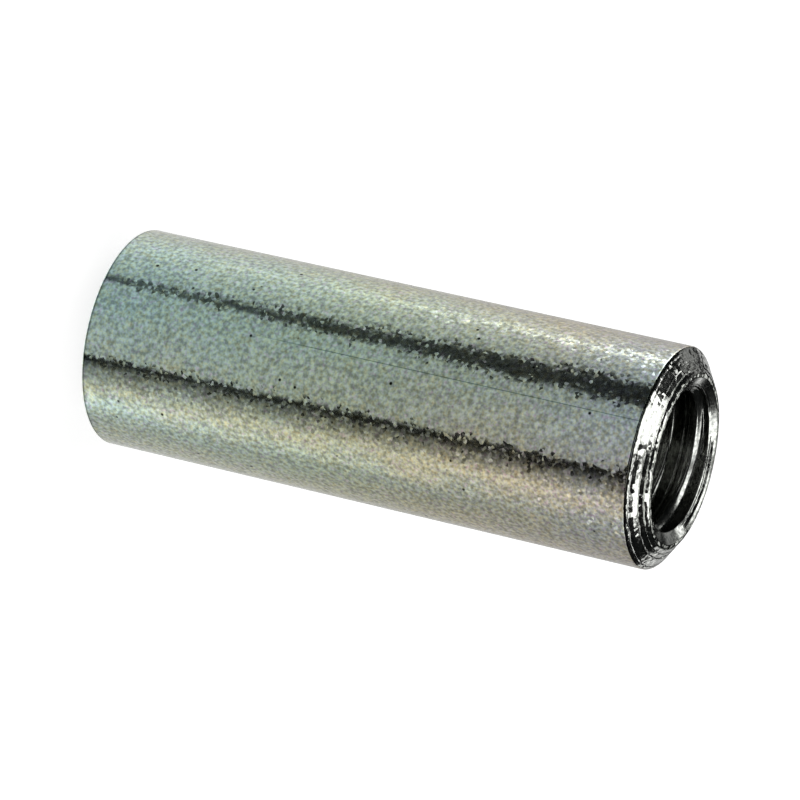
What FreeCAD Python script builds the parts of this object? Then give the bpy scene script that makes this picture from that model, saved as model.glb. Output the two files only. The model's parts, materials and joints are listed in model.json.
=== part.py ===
"""Round coupling nut, M8 by 30 mm: a plain sleeve turned from 11 mm round bar and tapped right through.

The nut stands on its cut-off end. The origin is the centre of that end, and +Z runs along the bore
to the bevelled mouth. Sizes are in millimetres. The bore has the thread's minor diameter.
"""
import FreeCAD, Part
import os
from math import radians, tan

# Round bar and cut length
BAR_DIAMETER = 11.0
LENGTH = 30.0

# Coarse M8 thread, whose basic profile sets the bore
THREAD_DIAMETER = 8.0
THREAD_PITCH = 1.25
MINOR_DEPTH_IN_PITCHES = 0.541266

# Bevelled mouth: a turned cone that runs in from the bar's skin to a narrow flat lip
BEVEL_HEIGHT = 0.8
LIP_DIAMETER = 8.7

# Countersink at both mouths, which lets the screw start
COUNTERSINK_DIAMETER = 8.2
COUNTERSINK_ANGLE = 120.0

# Sharp edge taken off the cut-off end
EDGE_BREAK = 0.15

bar_radius = BAR_DIAMETER / 2
lip_radius = LIP_DIAMETER / 2
mouth_radius = COUNTERSINK_DIAMETER / 2
bore_radius = THREAD_DIAMETER / 2 - MINOR_DEPTH_IN_PITCHES * THREAD_PITCH
countersink_depth = (mouth_radius - bore_radius) / tan(radians(COUNTERSINK_ANGLE / 2))


def half_section():
    """Face in the XZ plane between the bore wall and the bar's skin, listed from the lower mouth outwards."""
    corners = [
        (mouth_radius, 0),
        (bar_radius - EDGE_BREAK, 0),
        (bar_radius, EDGE_BREAK),
        (bar_radius, LENGTH - BEVEL_HEIGHT),
        (lip_radius, LENGTH),
        (mouth_radius, LENGTH),
        (bore_radius, LENGTH - countersink_depth),
        (bore_radius, countersink_depth),
    ]
    points = [FreeCAD.Vector(radius, 0, height) for radius, height in corners]
    return Part.Face(Part.makePolygon(points + points[:1]))


def coupling_nut():
    """One turn of the half section about the bore axis."""
    bore_axis = FreeCAD.Vector(0, 0, 1)
    return half_section().revolve(FreeCAD.Vector(0, 0, 0), bore_axis, 360)


os.makedirs("parts", exist_ok=True)
coupling_nut().exportStep("parts/coupling_nut.step")
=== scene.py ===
import json

import bpy
import numpy as np
from mathutils import Matrix, Vector


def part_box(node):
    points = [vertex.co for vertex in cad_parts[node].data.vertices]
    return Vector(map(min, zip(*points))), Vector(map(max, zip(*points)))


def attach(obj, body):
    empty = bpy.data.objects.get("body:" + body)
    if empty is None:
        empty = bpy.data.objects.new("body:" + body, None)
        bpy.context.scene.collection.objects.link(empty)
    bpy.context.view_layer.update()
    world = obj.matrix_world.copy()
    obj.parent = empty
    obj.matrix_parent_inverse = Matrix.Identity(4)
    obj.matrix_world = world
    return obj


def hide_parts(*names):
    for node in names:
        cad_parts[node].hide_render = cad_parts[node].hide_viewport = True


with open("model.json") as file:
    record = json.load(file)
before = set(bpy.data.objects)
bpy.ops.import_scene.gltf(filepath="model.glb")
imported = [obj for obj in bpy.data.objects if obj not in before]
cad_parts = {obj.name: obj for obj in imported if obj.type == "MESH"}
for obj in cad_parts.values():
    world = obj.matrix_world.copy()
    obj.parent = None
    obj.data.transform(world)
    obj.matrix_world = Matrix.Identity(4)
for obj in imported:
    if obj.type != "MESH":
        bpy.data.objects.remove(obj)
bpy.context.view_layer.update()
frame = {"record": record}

# The coupling nut is one sleeve, cut from drawn round steel bar, drilled and tapped right through.
# Its mouth end is turned to a bevel and countersunk, its lower end is left as it was parted off,
# and the whole nut is zinc plated and clear passivated.
MM = 0.001
COLUMNS = 208
nut_low, nut_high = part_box("coupling_nut")
mounts = {mount["name"]: mount for mount in frame["record"]["mounts"]}
bar_radius = min(nut_high.x, nut_high.y) / MM - 0.001
length = nut_high.z / MM
minor_radius = mounts["upper_thread"]["dims"]["r_mm"]
THREAD_PITCH = 1.25
THREAD_DEPTH = 0.541266 * THREAD_PITCH
FIRST_CREST_DEPTH = 1.08
BEVEL_HEIGHT = 0.8
RIM_ROUND = 0.18
RIM_ROWS = 9
LIP_RADIUS = 4.35
LIP_ROUND = 0.03
MOUTH_RADIUS = 4.1
COUNTERSINK_SLOPE = np.tan(np.radians(60))
EDGE_BREAK = 0.15
PARTING_FEED = 0.16
PARTING_RIDGE = 0.006
chance = np.random.default_rng(8)
around = np.linspace(0, 2 * np.pi, COLUMNS, endpoint=False)
around_degrees = np.degrees(around)


def wobble(lowest, highest):
    """Uneven line round the nut, about 1 high: a sum of cosines of whole orders, with random phases and
    strengths."""
    orders = np.arange(lowest, highest)
    phases = chance.uniform(0, 2 * np.pi, orders.size)
    strengths = chance.normal(size=orders.size) * np.sqrt(2 / orders.size)
    return strengths @ np.cos(orders[:, None] * around + phases[:, None])


def larger(first, second, rounding):
    """The larger of two values, with the corner where they cross rounded: half of their sum plus the root
    of gap squared and rounding squared."""
    return (first + second + np.sqrt((first - second) ** 2 + rounding ** 2)) / 2


def scallop(turns):
    """Groove that a round-nosed tool leaves: a parabola that is 0 on whole turns, where the ridges are,
    and 1 halfway."""
    share = turns % 1
    return 1 - (2 * share - 1) ** 2


def parted_end():
    """Lower face from the mouth out to the edge break: flat, with shallow rings where the parting tool
    fed in."""
    radius = np.linspace(MOUTH_RADIUS, bar_radius - EDGE_BREAK, 30)[:, None]
    from_mouth = np.minimum(1, (radius - MOUTH_RADIUS) / 0.1)
    from_edge = np.minimum(1, (bar_radius - EDGE_BREAK - radius) / 0.1)
    rings = scallop((radius - MOUTH_RADIUS) / PARTING_FEED + around / (2 * np.pi))
    return radius + 0 * around, PARTING_RIDGE * (from_mouth * from_edge) * rings


def skin():
    """Bar skin: a quarter-round edge break, the straight bar, and a small round where the bevel starts."""
    turn = np.linspace(0, np.pi / 2, 6)[1:]
    break_radius = bar_radius - EDGE_BREAK * (1 - np.sin(turn))
    break_height = EDGE_BREAK * (1 - np.cos(turn))
    rim_height = length - BEVEL_HEIGHT
    straight = np.concatenate([[0.2, 0.3], np.linspace(0.6, rim_height - 0.6, 12), [rim_height - 0.26]])
    radius = np.concatenate([break_radius, np.full(straight.size, bar_radius)])
    height = np.concatenate([break_height, straight])
    return radius[:, None] + 0 * around, height[:, None] + 0 * around


def bevel():
    """Turned cone from the bar's skin up to the lip: a straight slope, joined to the skin by a cubic, less
    the depth that the tool cut. That depth is read off by the share of the slope: rings, deepest on the side
    where the tool dug in, a torn grain, and chips along the outer edge."""
    run, rise = bar_radius - LIP_RADIUS, BEVEL_HEIGHT - LIP_ROUND
    slope = np.hypot(run, rise)
    share = np.concatenate([np.linspace(-RIM_ROUND, -0.02, RIM_ROWS), np.linspace(0.01, 1, 58)])[:, None]
    rim = np.where(share < RIM_ROUND / 2, (share + RIM_ROUND) ** 3 / (6.75 * RIM_ROUND ** 2), share)
    place = share + 0.015 * wobble(1, 6) * np.clip(share * 5, 0, 1) * np.clip(5 - share * 5, 0, 1)
    rings = np.interp(place, [0.14, 0.17, 0.36, 0.56, 0.59, 0.79], [0, 0.045, 0, 0, 0.065, 0])
    last_ring = np.interp(place, [0.79, 0.82, 0.95], [0, 0.03, 0])
    dug_in = np.interp(around_degrees, [0, 60, 180, 262, 285, 340, 360], [0.7, 0.25, 0.12, 0.12, 1, 1, 0.7])
    torn = np.interp(share, [0, 0.1, 0.75, 0.8, 0.93, 1], [0, 0.002, 0.002, 0.009, 0.009, 0])
    torn = torn * wobble(20, 90) * np.sin(16 * share + 2 * wobble(3, 9))
    cut = np.maximum((rings * dug_in + last_ring) * (1 + 0.15 * wobble(6, 40)) + torn, 0)
    chipped = np.interp(around_degrees, [268, 285, 320, 335], [0, 1, 1, 0])
    cut = cut + 0.012 * chipped * np.abs(wobble(30, 100)) * np.clip(1 - np.abs(share / 0.15), 0, 1)
    radius = bar_radius - run * rim - cut * rise / slope
    height = length - BEVEL_HEIGHT + rise * share - cut * run / slope
    return radius, height


def lip():
    """Narrow flat ring between bevel and countersink: both its corners are rounded, and small burrs stand
    along it."""
    share = np.linspace(0, 1, 11)[1:-1, None]
    crown = 1 - np.abs(2 * share - 1) ** 3
    radius = LIP_RADIUS + (MOUTH_RADIUS - LIP_RADIUS) * share + 0.012 * crown * wobble(9, 80)
    burr = np.clip(1 - 0.35 * np.abs(wobble(12, 90)), 0, 1)
    return radius, length - LIP_ROUND + LIP_ROUND * crown * burr


def bore():
    """Countersunk M8 bore: the thread's 60 degree profile wound as a right-hand helix, or the cone at either
    mouth where that is wider.

    At a point, the distance along the bore to the nearest crest gives the groove's depth: 0 on the crest's
    flat, then the flank's slope, then the root's depth, with rounded corners. The first turn is shallow and
    scored on one side, and the upper cone has a step and a ledge where the countersink chattered.
    """
    top = length - LIP_ROUND
    height = np.concatenate([
        np.linspace(top, length - 0.5, 40),
        np.linspace(length - 0.5, length - 3.4, 84)[1:],
        np.linspace(length - 3.4, 0.5, 200)[1:],
        np.linspace(0.5, 0, 6)[1:-1],
    ])[:, None]
    crest_height = length - FIRST_CREST_DEPTH + THREAD_PITCH * (around / (2 * np.pi) - 0.25)
    from_crest = np.abs((height - crest_height) / THREAD_PITCH % 1 - 0.5)
    from_crest = THREAD_PITCH * (0.5 - from_crest)
    below_top = top - height
    scored = np.interp(around_degrees, [95, 105, 145, 160], [0, 1, 1, 0])
    flank = (from_crest - THREAD_PITCH / 8) * np.sqrt(3) * (1 + 0.3 * scored * (below_top < 1.3))
    first_turn = np.interp(below_top, [0.75, 1.1], [0.34, THREAD_DEPTH])
    first_turn = first_turn + scored * np.interp(below_top, [0.36, 0.48, 0.57], [0, 0.12, 0])
    crest_round = 0.05 + 0.2 * np.clip(1.2 * np.cos(around - np.radians(10)), 0, 1)
    groove = -larger(-larger(flank, 0, crest_round), -first_turn, 0.06)
    chatter = np.interp(around_degrees, [35, 50, 100, 115], [0, 1, 1, 0])
    step = np.interp(below_top + 0.008 * wobble(1, 9), [0.05, 0.17, 0.2], [0, 0.14, 0])
    step = step * chatter * (1 + 0.2 * wobble(20, 90))
    ledge = np.interp(below_top, [0.19, 0.25, 0.26], [0, 0.1, 0])
    ledge = ledge * np.interp(around_degrees, [130, 145, 195, 210], [0, 1, 1, 0])
    upper_cone = MOUTH_RADIUS - COUNTERSINK_SLOPE * below_top + step + ledge
    lower_cone = MOUTH_RADIUS - COUNTERSINK_SLOPE * height
    cones = np.maximum(upper_cone, lower_cone)
    rounding = (0.04 + 0.1 * chatter) * np.clip(below_top / 0.3 - 0.1, 0, 1)
    rounding = rounding * np.minimum(1, height / 0.3)
    return larger(minor_radius + groove, cones, rounding), height + 0 * around


regions = [parted_end(), skin(), bevel(), lip(), bore()]
radius = np.vstack([rows[0] for rows in regions])
height = np.vstack([rows[1] for rows in regions])
points = np.stack([radius * np.cos(around), radius * np.sin(around), height], -1) * MM
rows = len(radius)
row = np.arange(rows)[:, None]
column = np.arange(COLUMNS)
next_row, next_column = (row + 1) % rows, (column + 1) % COLUMNS
corners = np.broadcast_arrays(
    row * COLUMNS + column,
    row * COLUMNS + next_column,
    next_row * COLUMNS + next_column,
    next_row * COLUMNS + column,
)
faces = np.stack(corners, -1).reshape(-1, 4)
mesh = bpy.data.meshes.new("coupling_nut_plated")
mesh.from_pydata(points.reshape(-1, 3), [], faces)
mesh.shade_smooth()
row_counts = [len(rows[0]) for rows in regions]
finish_starts = np.cumsum([0] + row_counts[:-1]) + [0, 0, RIM_ROWS, 0, 0]
row_finish = np.array([1, 0, 1, 1, 2])[np.searchsorted(finish_starts, np.arange(rows), "right") - 1]
mesh.polygons.foreach_set("material_index", np.repeat(row_finish, COLUMNS))
nut = bpy.data.objects.new("coupling_nut_plated", mesh)
bpy.context.scene.collection.objects.link(nut)


def linear(colour):
    """sRGB hex to linear RGBA: below 0.04045 divided by 12.92, above it a power of 2.4."""
    srgb = np.array([int(colour[i:i + 2], 16) for i in (1, 3, 5)]) / 255
    return (*np.where(srgb < 0.04045, srgb / 12.92, ((srgb + 0.055) / 1.055) ** 2.4), 1.0)


def add_node(material, kind, options={}, values={}, links={}, stops=()):
    """One shader node with its options, the values of its unlinked inputs, the outputs that feed the others,
    and the (place, hex colour) stops of a colour ramp."""
    made = material.node_tree.nodes.new("ShaderNode" + kind)
    for name, value in options.items():
        setattr(made, name, value)
    for name, value in values.items():
        made.inputs[name].default_value = value
    for name, output in links.items():
        material.node_tree.links.new(output, made.inputs[name])
    for place, colour in stops[2:]:
        made.color_ramp.elements.new(0.5)
    for element, (place, colour) in zip(made.color_ramp.elements if stops else (), stops):
        element.position = place
        element.color = linear(colour)
    return made


def plated_bar():
    """Zinc plate, clear passivated, on drawn bar: a satin grey with a fine crystalline grain. The passivation
    tints it green and straw in bands along the bar, and blue-green towards the cut-off end. Most crystals lie
    flat and a few lean far, which frays what the bar mirrors. Pits and the die's scratch are dark."""
    material = bpy.data.materials.new("zinc_plate_on_drawn_bar")
    material.use_nodes = True
    shader = material.node_tree.nodes["Principled BSDF"]
    shader.inputs["Metallic"].default_value = 1.0
    shader.inputs["Roughness"].default_value = 0.13
    coordinates = add_node(material, "TexCoord")
    place = coordinates.outputs["Object"]
    grain = add_node(material, "TexNoise", values={"Scale": 1 / (0.2 * MM), "Detail": 1.0},
                     links={"Vector": place})
    cloud = add_node(material, "TexNoise", values={"Scale": 1 / (3 * MM), "Detail": 3.0, "Roughness": 0.6},
                     links={"Vector": place})
    turn = add_node(material, "TexGradient", {"gradient_type": "RADIAL"}, links={"Vector": place})
    drift = add_node(material, "Math", {"operation": "MULTIPLY_ADD"}, {1: 0.12, 2: -0.06},
                     {0: cloud.outputs["Fac"]})
    angle = add_node(material, "Math", {"operation": "ADD"},
                     links={0: turn.outputs["Fac"], 1: drift.outputs[0]})
    straw, green, blue_green = "#D2CEB4", "#C5CEBF", "#B9CEC3"
    bands = add_node(material, "ValToRGB", links={"Fac": angle.outputs[0]}, stops=[
        (0.03, straw), (0.09, green), (0.19, blue_green), (0.28, green), (0.34, straw), (0.38, green),
        (0.45, straw), (0.75, green), (0.98, straw),
    ])
    up = add_node(material, "SeparateXYZ", links={0: place})
    along = add_node(material, "MapRange", values={"From Max": length * MM},
                     links={"Value": up.outputs["Z"]})
    ends = add_node(material, "ValToRGB", links={"Fac": along.outputs[0]},
                    stops=[(0.05, "#E9F2FF"), (0.45, "#F5F5F5"), (0.78, "#FFF2F6"), (0.92, "#F8EEFF")])
    colour = add_node(material, "Mix", {"data_type": "RGBA", "blend_type": "MULTIPLY"}, {0: 1.0},
                      {6: bands.outputs["Color"], 7: ends.outputs["Color"]})
    speckle = add_node(material, "TexNoise", links={"Vector": place},
                       values={"Scale": 1 / (0.22 * MM), "Detail": 2.0, "Roughness": 0.7})
    speckle = add_node(material, "ValToRGB", links={"Fac": speckle.outputs["Fac"]},
                       stops=[(0.3, "#FFEEFF"), (0.45, "#F2FCFF"), (0.55, "#F9FFEC"), (0.7, "#FFF5DC")])
    colour = add_node(material, "Mix", {"data_type": "RGBA", "blend_type": "MULTIPLY"}, {0: 1.0},
                      {6: colour.outputs[2], 7: speckle.outputs["Color"]})
    sparkle = add_node(material, "ValToRGB", links={"Fac": grain.outputs["Fac"]},
                       stops=[(0.3, "#B0B0B0"), (0.7, "#FFFFFF")])
    colour = add_node(material, "Mix", {"data_type": "RGBA", "blend_type": "MULTIPLY"}, {0: 1.0},
                      {6: colour.outputs[2], 7: sparkle.outputs["Color"]})
    cells = add_node(material, "TexVoronoi", values={"Scale": 1 / (1.2 * MM)}, links={"Vector": place})
    pits = add_node(material, "ValToRGB", links={"Fac": cells.outputs["Distance"]},
                    stops=[(0.05, "#202020"), (0.085, "#FFFFFF")])
    colour = add_node(material, "Mix", {"data_type": "RGBA", "blend_type": "MULTIPLY"}, {0: 1.0},
                      {6: colour.outputs[2], 7: pits.outputs["Color"]})
    die_turn, die_half_width = 0.2094, 0.0007
    die_line = add_node(material, "Math", {"operation": "COMPARE"}, {1: die_turn, 2: die_half_width},
                        {0: turn.outputs["Fac"]})
    scored = add_node(material, "MapRange", values={"From Min": 8 * MM, "From Max": 12 * MM},
                      links={"Value": up.outputs["Z"]})
    die_line = add_node(material, "Math", {"operation": "MULTIPLY"},
                        links={0: die_line.outputs[0], 1: scored.outputs[0]})
    colour = add_node(material, "Mix", {"data_type": "RGBA", "blend_type": "MULTIPLY"},
                      {7: linear("#AEBCBA")}, {0: die_line.outputs[0], 6: colour.outputs[2]})
    crystals = add_node(material, "TexVoronoi", values={"Scale": 1 / (0.17 * MM)}, links={"Vector": place})
    lean = add_node(material, "VectorMath", {"operation": "SUBTRACT"}, {1: (0.5,) * 3},
                    {0: crystals.outputs["Color"]})
    square = add_node(material, "VectorMath", {"operation": "MULTIPLY"},
                      links={0: lean.outputs[0], 1: lean.outputs[0]})
    cube = add_node(material, "VectorMath", {"operation": "MULTIPLY"},
                    links={0: square.outputs[0], 1: lean.outputs[0]})
    facet = add_node(material, "VectorMath", {"operation": "MULTIPLY_ADD"}, {1: (0.7,) * 3},
                     {0: cube.outputs[0], 2: coordinates.outputs["Normal"]})
    facet = add_node(material, "VectorMath", {"operation": "NORMALIZE"}, links={0: facet.outputs[0]})
    material.node_tree.links.new(colour.outputs[2], shader.inputs["Base Color"])
    material.node_tree.links.new(facet.outputs[0], shader.inputs["Normal"])
    return material


def turned_steel():
    """Zinc plate on a turned face: brighter and smoother than the bar, because the tool cut it clean, with
    fine tool lines and torn flecks that lean a little each way."""
    material = bpy.data.materials.new("zinc_plate_on_turned_face")
    material.use_nodes = True
    shader = material.node_tree.nodes["Principled BSDF"]
    shader.inputs["Metallic"].default_value = 1.0
    shader.inputs["Roughness"].default_value = 0.15
    coordinates = add_node(material, "TexCoord")
    place = coordinates.outputs["Object"]
    grain = add_node(material, "TexNoise", links={"Vector": place},
                     values={"Scale": 1 / (0.2 * MM), "Detail": 2.0, "Roughness": 0.6})
    tints = add_node(material, "ValToRGB", links={"Fac": grain.outputs["Fac"]},
                     stops=[(0.35, "#A4A6A2"), (0.62, "#DEDFDA")])
    up = add_node(material, "SeparateXYZ", links={0: place})
    lines = add_node(material, "TexNoise", {"noise_dimensions": "1D"},
                     {"Scale": 1 / (0.06 * MM), "Detail": 1.0}, {"W": up.outputs["Z"]})
    lines = add_node(material, "ValToRGB", links={"Fac": lines.outputs["Fac"]},
                     stops=[(0.35, "#D2D4D0"), (0.6, "#FFFFFF")])
    colour = add_node(material, "Mix", {"data_type": "RGBA", "blend_type": "MULTIPLY"}, {0: 1.0},
                      {6: tints.outputs["Color"], 7: lines.outputs["Color"]})
    flecks = add_node(material, "TexVoronoi", values={"Scale": 1 / (0.2 * MM)}, links={"Vector": place})
    tilt = add_node(material, "VectorMath", {"operation": "MULTIPLY_ADD"},
                    {1: (0.16,) * 3, 2: (-0.08,) * 3}, {0: flecks.outputs["Color"]})
    facet = add_node(material, "VectorMath", {"operation": "ADD"},
                     links={0: coordinates.outputs["Normal"], 1: tilt.outputs[0]})
    facet = add_node(material, "VectorMath", {"operation": "NORMALIZE"}, links={0: facet.outputs[0]})
    material.node_tree.links.new(colour.outputs[2], shader.inputs["Base Color"])
    material.node_tree.links.new(facet.outputs[0], shader.inputs["Normal"])
    return material


def tapped_steel():
    """Zinc plate in the tapped bore: thin and dull, because little of the plate reaches down the thread. Its
    colour is also darker as painted shade, standing in for the shade down the bore.
    """
    material = bpy.data.materials.new("thin_zinc_plate_and_painted_shade_in_bore")
    material.use_nodes = True
    shader = material.node_tree.nodes["Principled BSDF"]
    shader.inputs["Metallic"].default_value = 1.0
    shader.inputs["Roughness"].default_value = 0.18
    place = add_node(material, "TexCoord").outputs["Object"]
    grain = add_node(material, "TexNoise", values={"Scale": 1 / (0.2 * MM), "Detail": 2.0},
                     links={"Vector": place})
    # The bore's darker tints are partly thin plate and partly painted shade of the recess.
    tints = add_node(material, "ValToRGB", links={"Fac": grain.outputs["Fac"]},
                     stops=[(0.35, "#8A8C89"), (0.65, "#C2C4BE")])
    material.node_tree.links.new(tints.outputs["Color"], shader.inputs["Base Color"])
    return material


for plate in (plated_bar(), turned_steel(), tapped_steel()):
    mesh.materials.append(plate)
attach(nut, "root")
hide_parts("coupling_nut")

# The floor is a plain pale table top. Round the nut's foot it takes the light and the nut's shadow,
# and under the bore it is in the dark.
FLOOR_RADIUS = 10000.0
turn = np.linspace(0, 2 * np.pi, 96, endpoint=False)
floor_radius = np.array([0.5, 4.7, 12, 40, 150, 600, FLOOR_RADIUS])[:, None]
floor_x, floor_y = floor_radius * np.cos(turn), floor_radius * np.sin(turn)
floor_points = np.stack([floor_x, floor_y, 0 * floor_x], -1) * MM
ring = np.arange(len(floor_radius) - 1)[:, None]
spoke = np.arange(turn.size)
next_spoke = (spoke + 1) % turn.size
floor_corners = np.broadcast_arrays(
    ring * turn.size + spoke,
    (ring + 1) * turn.size + spoke,
    (ring + 1) * turn.size + next_spoke,
    ring * turn.size + next_spoke,
)
floor_faces = np.stack(floor_corners, -1).reshape(-1, 4)
floor_mesh = bpy.data.meshes.new("floor")
floor_mesh.from_pydata(floor_points.reshape(-1, 3), [], [list(spoke)] + floor_faces.tolist())
under_nut = [1] * (1 + turn.size) + [0] * (len(floor_faces) - turn.size)
floor_mesh.polygons.foreach_set("material_index", under_nut)
floor = bpy.data.objects.new("floor", floor_mesh)
bpy.context.scene.collection.objects.link(floor)


def white_table():
    """White laminate: it glows white to the camera and in reflections, and its diffuse part takes the
    shadow."""
    material = bpy.data.materials.new("white_laminate")
    material.use_nodes = True
    nodes = material.node_tree.nodes
    nodes.remove(nodes["Principled BSDF"])
    rays = add_node(material, "LightPath").outputs
    seen = add_node(material, "Math", {"operation": "MAXIMUM"},
                    links={0: rays["Is Camera Ray"], 1: rays["Is Glossy Ray"]})
    seen = add_node(material, "Math", {"operation": "MAXIMUM"},
                    links={0: seen.outputs[0], 1: rays["Is Transmission Ray"]})
    glow = add_node(material, "Math", {"operation": "MULTIPLY"}, {1: 0.8}, {0: seen.outputs[0]})
    glow = add_node(material, "Emission", values={"Color": linear("#FFFFFF")},
                    links={"Strength": glow.outputs[0]})
    matt = add_node(material, "BsdfDiffuse", values={"Color": linear("#E0E0E0")})
    both = add_node(material, "AddShader", links={0: glow.outputs[0], 1: matt.outputs[0]})
    material.node_tree.links.new(both.outputs[0], nodes["Material Output"].inputs["Surface"])
    return material


def shaded_table():
    """The same laminate where the nut covers it."""
    material = bpy.data.materials.new("white_laminate_under_nut")
    material.use_nodes = True
    shader = material.node_tree.nodes["Principled BSDF"]
    shader.inputs["Base Color"].default_value = linear("#E0E0E0")
    shader.inputs["Roughness"].default_value = 0.6
    return material


floor_mesh.materials.append(white_table())
floor_mesh.materials.append(shaded_table())

# The reflector is a card that glows, though it is no lamp, round the nut's foot, and shows only in
# reflections:
# its glow is a painted reflection. A standing round bar mirrors what lies round its foot, so the card's
# painted light strips and dark flags give the bar its long bands, and its dark inner edge is a painted shadow
# at the foot.
# Places and levels are fitted to the photograph.
PALE_AT_FOOT, PALE_AT_MOUTH = 0.86, 0.62
CARD_HEIGHT = 0.05
facing = np.linspace(-90, 90, 481)
mirrored = np.concatenate([[0, 0.15], np.linspace(0.5, 44, 79)])[:, None]
up_bar = np.minimum(mirrored / length, 1)
near_rim = np.clip((mirrored - 25) / 4, 0, 1)


def climb(start, end):
    """0 for the angles below the start and 1 above the end, with a smooth S between them."""
    share = np.clip((facing - start) / (end - start), 0, 1)
    return share * share * (3 - 2 * share)


# The card's glow levels below are painted reflection: a pale glow, light strips, a narrow glint line, and
# dark flags where the glow is taken away.
pale = PALE_AT_FOOT + (PALE_AT_MOUTH - PALE_AT_FOOT) * up_bar
upper_strip = (0.5 + 0.1 * up_bar) * np.exp(-((facing - 55 - 3 * up_bar) / 15) ** 2)
lower_strip = (0.8 - 0.28 * up_bar) * np.exp(-((facing + 39.5 - 7 * up_bar) / 8) ** 2)
narrow_strip = 2.7 * up_bar ** 2.2 * np.exp(-((facing - 54) / 1.4) ** 2)
card_grey = (pale + upper_strip + lower_strip) * (1 - 0.12 * (facing / 90) ** 4) + narrow_strip
card_grey = card_grey * (1 + 0.4 * near_rim * np.exp(-((facing - 4) / 14) ** 2))
past_rim = np.clip((mirrored - 33) / 4, 0, 1)
far_strips = 3 * np.exp(-((facing - 54) / 12) ** 2) + 1.2 * np.exp(-((facing + 38) / 12) ** 2)
card_grey = card_grey + past_rim * far_strips
upper_flag = climb(25 - 4.8 * up_bar, 28 - 4.8 * up_bar)
upper_flag = upper_flag * (1 - climb(27.5 + 7 * up_bar, 31.5 + 7 * up_bar))
upper_flag = upper_flag * (0.86 + 0.08 * up_bar)
lower_flag = np.interp(facing - 2.4 * up_bar, [-29, -25, -21, -18, -16.8], [0, 0.28, 0.57, 0.9, 1.1])
lower_flag = lower_flag * (0.88 + 0.22 * up_bar)
lower_flag = lower_flag * (1 - climb(-15.4 + 2.8 * up_bar, -13.8 + 3 * up_bar))
faint_flag = 0.32 * np.minimum(2 * up_bar, 1) * np.exp(-((facing + 35.5) / 2.2) ** 2)
card_grey = card_grey * (1 - upper_flag) * (1 - np.minimum(lower_flag, 1)) * (1 - faint_flag)
# Painted shadow at the foot: the glow falls to a fifth at the card's inner edge.
card_grey = card_grey * np.interp(mirrored, [0, 0.15], [0.2, 1])
ray_length = mirrored / np.tan(np.radians(25.5 - 0.2 * mirrored))
ray_length[-3:] = np.array([300, 600, 1500])[:, None]
facing_turn = np.radians(facing)
card_points = np.stack([
    -bar_radius * np.sin(facing_turn) - ray_length * np.sin(2 * facing_turn),
    -bar_radius * np.cos(facing_turn) - ray_length * np.cos(2 * facing_turn),
    np.full_like(ray_length * facing_turn, CARD_HEIGHT),
], -1) * MM
ring = np.arange(mirrored.size - 1)[:, None]
spoke = np.arange(facing.size - 1)
card_corners = np.broadcast_arrays(
    ring * facing.size + spoke,
    ring * facing.size + spoke + 1,
    (ring + 1) * facing.size + spoke + 1,
    (ring + 1) * facing.size + spoke,
)
card_mesh = bpy.data.meshes.new("reflector_card")
card_mesh.from_pydata(card_points.reshape(-1, 3), [], np.stack(card_corners, -1).reshape(-1, 4))
grey = card_mesh.attributes.new("grey", "FLOAT", "POINT")
grey.data.foreach_set("value", card_grey.astype(np.float32).ravel())
card = bpy.data.objects.new("reflector_card", card_mesh)
bpy.context.scene.collection.objects.link(card)
card_glow_material = bpy.data.materials.new("glowing_card")
card_glow_material.use_nodes = True
card_nodes = card_glow_material.node_tree.nodes
card_nodes.remove(card_nodes["Principled BSDF"])
# The card's glow is emission from a part that is no lamp: a painted reflection.
glowing = add_node(card_glow_material, "Attribute", {"attribute_name": "grey"})
glowing = add_node(card_glow_material, "Emission", links={"Strength": glowing.outputs["Fac"]})
card_glow_material.node_tree.links.new(glowing.outputs[0], card_nodes["Material Output"].inputs["Surface"])
card_mesh.materials.append(card_glow_material)
card.visible_camera = False
card.visible_diffuse = False
card.visible_transmission = False
card.visible_shadow = False

# The studio is a dark room with seven softboxes: a large one over the nut, a strip beside it, a low one and a
# small corner one behind it, two dim ones low at its sides, and a wide dim one in front.
room = bpy.data.worlds.new("studio_room")
room.use_nodes = True
room.node_tree.nodes["Background"].inputs["Color"].default_value = linear("#141616")
bpy.context.scene.world = room


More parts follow.
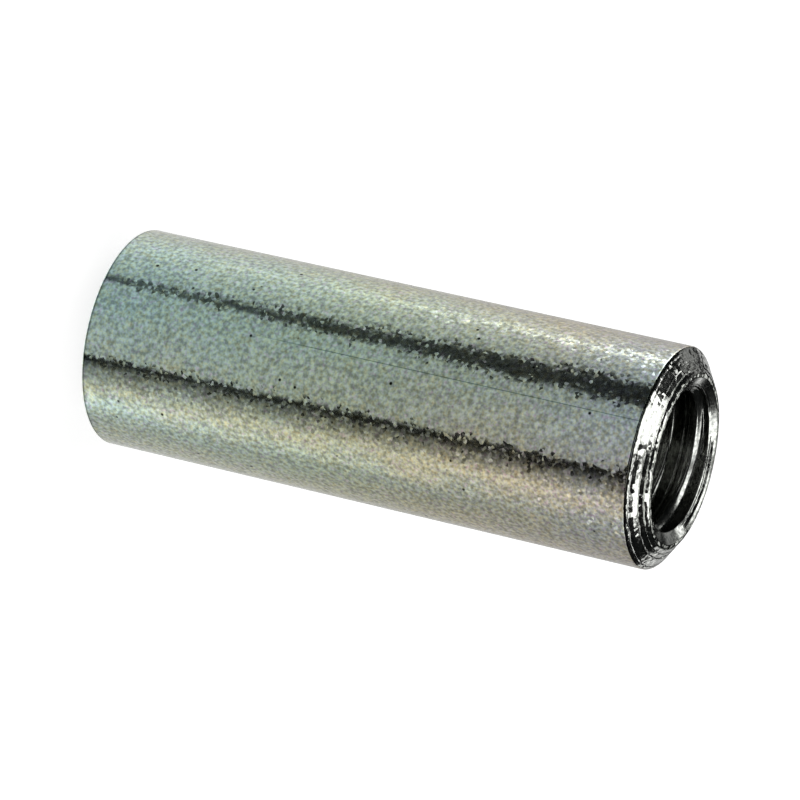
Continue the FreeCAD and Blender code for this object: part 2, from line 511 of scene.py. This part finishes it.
def softbox(name, azimuth, elevation, distance, width, depth, glow):
    """Area light aimed at the nut's mouth, its width along X. Azimuth is counted from the camera's side
    towards -X, and glow is its radiance, 1 for white."""
    turn, rise = np.radians(azimuth), np.radians(elevation)
    away = Vector((-np.sin(turn) * np.cos(rise), -np.cos(turn) * np.cos(rise), np.sin(rise)))
    side = (Vector((1, 0, 0)) - away * away.x).normalized()
    lamp = bpy.data.lights.new(name, "AREA")
    lamp.shape = "RECTANGLE"
    lamp.size, lamp.size_y = width, depth
    lamp.energy = glow * np.pi * width * depth
    box = bpy.data.objects.new(name, lamp)
    turned = Matrix((side, away.cross(side), away)).transposed().to_4x4()
    box.matrix_world = Matrix.Translation(Vector((0, 0, length * MM)) + away * distance) @ turned
    box.visible_camera = False
    bpy.context.scene.collection.objects.link(box)


softbox("overhead_softbox", 138.6, 69.8, 0.5, 0.22, 0.40, 2.6)
softbox("strip_softbox", -122, 66, 0.5, 0.26, 0.27, 2.6)
softbox("low_softbox", 180, 30, 0.6, 0.22, 0.12, 1.6)
softbox("corner_softbox", 147, 36, 0.6, 0.08, 0.08, 3)
softbox("side_softbox", 151, 18, 0.6, 0.22, 0.18, 0.34)
softbox("far_side_softbox", -160, 7, 0.6, 0.2, 0.09, 1.1)
softbox("front_softbox", 0, 38, 0.6, 1.1, 0.1, 0.5)

# The camera stands in front of the nut and above it, turned on its side, so that the nut lies along the
# picture. The pixel, distance and angles come from fitting the nut's outline in the 800 pixel frame.
PICTURE = 800
LENS, SENSOR = 210.0, 36.0
FOOT_PIXEL = (134.117, 336.798)
FOOT_DISTANCE = 234.932
AXIS_SLOPE = np.radians(-12.7833)
AXIS_TOWARDS = np.radians(22.4039)
focal = LENS / SENSOR * PICTURE
axis = np.array([
    np.cos(AXIS_SLOPE) * np.cos(AXIS_TOWARDS),
    np.sin(AXIS_SLOPE) * np.cos(AXIS_TOWARDS),
    np.sin(AXIS_TOWARDS),
])
towards = np.array([0, 0, 1]) - axis[2] * axis
towards = towards / np.linalg.norm(towards)
turned = np.stack([np.cross(-towards, axis), -towards, axis], 1)
foot = np.array([
    (FOOT_PIXEL[0] - PICTURE / 2) / focal * FOOT_DISTANCE,
    -(FOOT_PIXEL[1] - PICTURE / 2) / focal * FOOT_DISTANCE,
    -FOOT_DISTANCE,
])
camera_data = bpy.data.cameras.new("camera")
camera_data.lens, camera_data.sensor_width = LENS, SENSOR
camera_data.clip_start = 0.01
camera = bpy.data.objects.new("camera", camera_data)
camera.matrix_world = Matrix.Translation(Vector(-turned.T @ foot * MM)) @ Matrix(turned.T.tolist()).to_4x4()
bpy.context.scene.collection.objects.link(camera)
bpy.context.scene.camera = camera
bpy.context.scene.view_settings.view_transform = "Standard"
